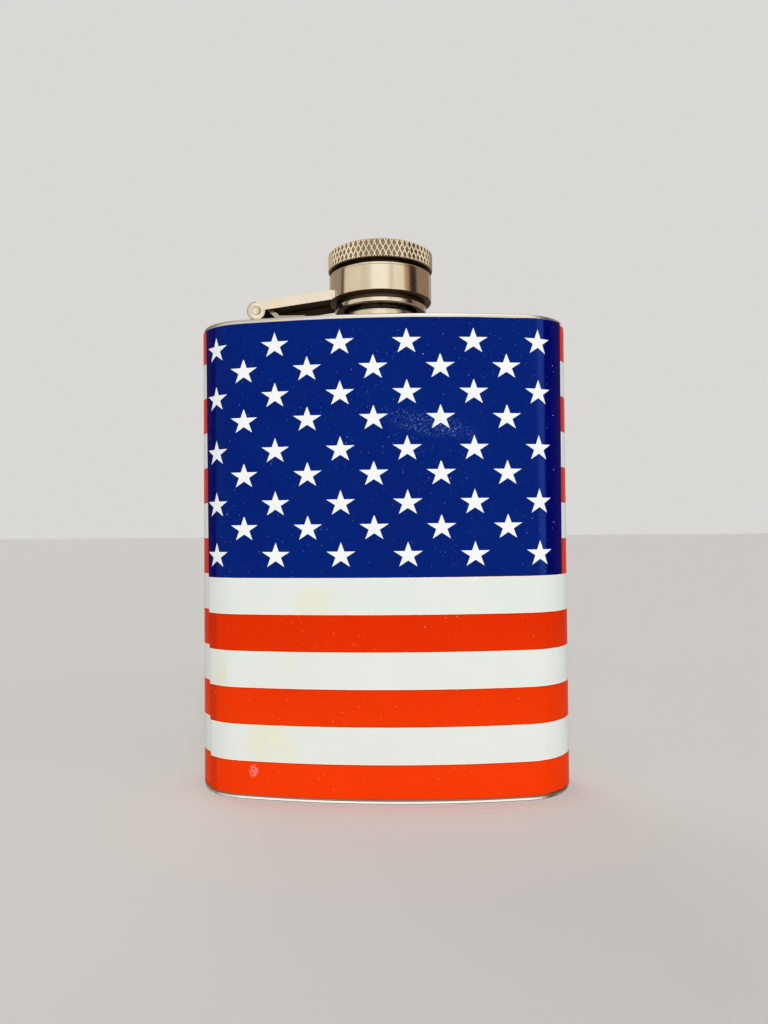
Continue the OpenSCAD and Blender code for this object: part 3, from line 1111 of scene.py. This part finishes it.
film()
end_plate("pressed_top_plate", "top_plate", NECK_ROOT_R * MM, "plate_steel", "plate_steel")
end_plate("pressed_bottom_plate", "bottom_plate", 0, "plate_steel", "plate_steel")
dress_node("body_wall", "wall_steel")
neck()
liner()
seal()
sleeve()
collar()
rivet()
knob()
arm()
bracket()

# ---------------------------------------------------------------- stage, lights and camera


def floor():
    mesh = bpy.data.meshes.new("studio_floor")
    half = 6.0
    corners = [(-half, -half, 0), (half, -half, 0), (half, half, 0), (-half, half, 0)]
    mesh.from_pydata(corners, [], [(0, 1, 2, 3)])
    piece = new_object("studio_floor", mesh)
    material, _, shader = start_material("studio_floor")
    shader.inputs["Base Color"].default_value = (0.66, 0.645, 0.62, 1)
    shader.inputs["Roughness"].default_value = 0.8
    shader.inputs["Specular IOR Level"].default_value = 0.1
    mesh.materials.append(material)
    piece.visible_glossy = False


def sun(name, place, spread, strength, colour):
    """Soft light from the direction of place towards the origin, which metal and gloss don't mirror."""
    data = bpy.data.lights.new(name, "SUN")
    data.angle = math.radians(spread)
    data.energy = strength
    data.color = colour
    lamp = bpy.data.objects.new(name, data)
    bpy.context.scene.collection.objects.link(lamp)
    lamp.rotation_euler = (-Vector(place)).to_track_quat("-Z", "Y").to_euler()
    lamp.visible_glossy = False


# What metal mirrors level with it, from behind by the left, the front and the right: degrees and tone.
SURROUNDINGS = [
    (-180, (0.32, 0.26, 0.20)),
    (-168, (0.30, 0.24, 0.18)),
    (-162, (0.50, 0.42, 0.34)),
    (-148, (0.48, 0.40, 0.32)),
    (-141, (0.40, 0.30, 0.23)),
    (-96, (0.40, 0.30, 0.23)),
    (-92, (0.05, 0.03, 0.02)),
    (-87, (0.06, 0.04, 0.025)),
    (-83, (0.86, 0.76, 0.60)),
    (-42, (0.92, 0.82, 0.66)),
    (-37, (0.80, 0.72, 0.57)),
    (-22, (0.86, 0.79, 0.65)),
    (-14, (1.20, 1.13, 1.00)),
    (18, (1.20, 1.13, 1.01)),
    (23, (0.95, 0.87, 0.72)),
    (29, (0.78, 0.69, 0.54)),
    (34, (1.02, 0.95, 0.80)),
    (56, (0.98, 0.88, 0.70)),
    (60, (0.50, 0.34, 0.21)),
    (69, (0.46, 0.31, 0.19)),
    (72, (0.035, 0.02, 0.02)),
    (88, (0.04, 0.02, 0.02)),
    (93, (0.33, 0.22, 0.16)),
    (141, (0.32, 0.22, 0.155)),
    (148, (0.48, 0.40, 0.32)),
    (162, (0.50, 0.42, 0.34)),
    (168, (0.30, 0.24, 0.18)),
    (180, (0.32, 0.26, 0.20)),
]


def world():
    """An even pale room for the eye and for matt surfaces, and a banded one for what metal mirrors."""
    scene_world = bpy.data.worlds.new("studio")
    bpy.context.scene.world = scene_world
    scene_world.use_nodes = True
    tree = scene_world.node_tree
    background = tree.nodes["Background"]

    place = tree.nodes.new("ShaderNodeTexCoord")
    x, y, z = parts(tree, place.outputs["Generated"])
    round_about = x.math("ARCTAN2", y * -1) / (2 * math.pi) + 0.5
    ramp = tree.nodes.new("ShaderNodeValToRGB")
    stops = ramp.color_ramp.elements
    while len(stops) < len(SURROUNDINGS):
        stops.new(0.5)
    for stop, (degrees, tone) in zip(stops, SURROUNDINGS):
        stop.position = degrees / 360 + 0.5
        stop.color = (*tone, 1)
    feed(tree, ramp.inputs[0], round_about)

    # Far below, metal mirrors near darkness, with a bright patch low in front.
    low = z.smooth(-0.72, -0.45)
    mirrored = mix(tree, low, (0.035, 0.03, 0.025, 1), ramp.outputs[0])
    glow = z.smooth(-0.62, -0.45) * z.smooth(-0.1, -0.25) * y.smooth(-0.55, -0.8)
    mirrored = mix(tree, glow, mirrored, (1.4, 1.18, 1.02, 1))

    # Overhead it mirrors a bright sheet in front and a dim ceiling everywhere else.
    high = z.smooth(0.5, 0.75)
    in_front = y.smooth(0.1, -0.3) * x.size().smooth(0.75, 0.35)
    overhead = mix(tree, in_front, (0.38, 0.32, 0.26, 1), (1.3, 1.22, 1.08, 1))
    mirrored = mix(tree, high, mirrored, overhead)

    path = tree.nodes.new("ShaderNodeLightPath")
    room = mix(tree, path.outputs["Is Camera Ray"], (0.42, 0.42, 0.42, 1), (0.70, 0.69, 0.67, 1))
    feed(tree, background.inputs["Color"], mix(tree, path.outputs["Is Glossy Ray"], room, mirrored))
    background.inputs["Strength"].default_value = 1.0


# The photographer's camera, as the photo's straight edges and regular print place it.
CAMERA_LENS = 27.07
CAMERA_PLACE = (9.58 * MM, -198.56 * MM, 66.25 * MM)
CAMERA_TURN = (91.20, 0.47, 2.67)  # degrees


def camera():
    data = bpy.data.cameras.new("camera")
    data.lens = CAMERA_LENS
    data.sensor_width = 36
    data.clip_start = 0.01
    view = bpy.data.objects.new("camera", data)
    bpy.context.scene.collection.objects.link(view)
    view.location = CAMERA_PLACE
    view.rotation_euler = [math.radians(a) for a in CAMERA_TURN]
    bpy.context.scene.camera = view


floor()
sun("key", (0.06, -0.95, 0.75), 30, 1.9, (1.0, 0.993, 0.975))
sun("fill", (0.9, -0.6, 0.3), 50, 0.35, (1.0, 0.98, 0.95))
sun("back", (-0.5, 0.9, 0.5), 50, 0.7, (1.0, 0.99, 0.97))
world()
camera()
bpy.context.scene.view_settings.view_transform = "Standard"
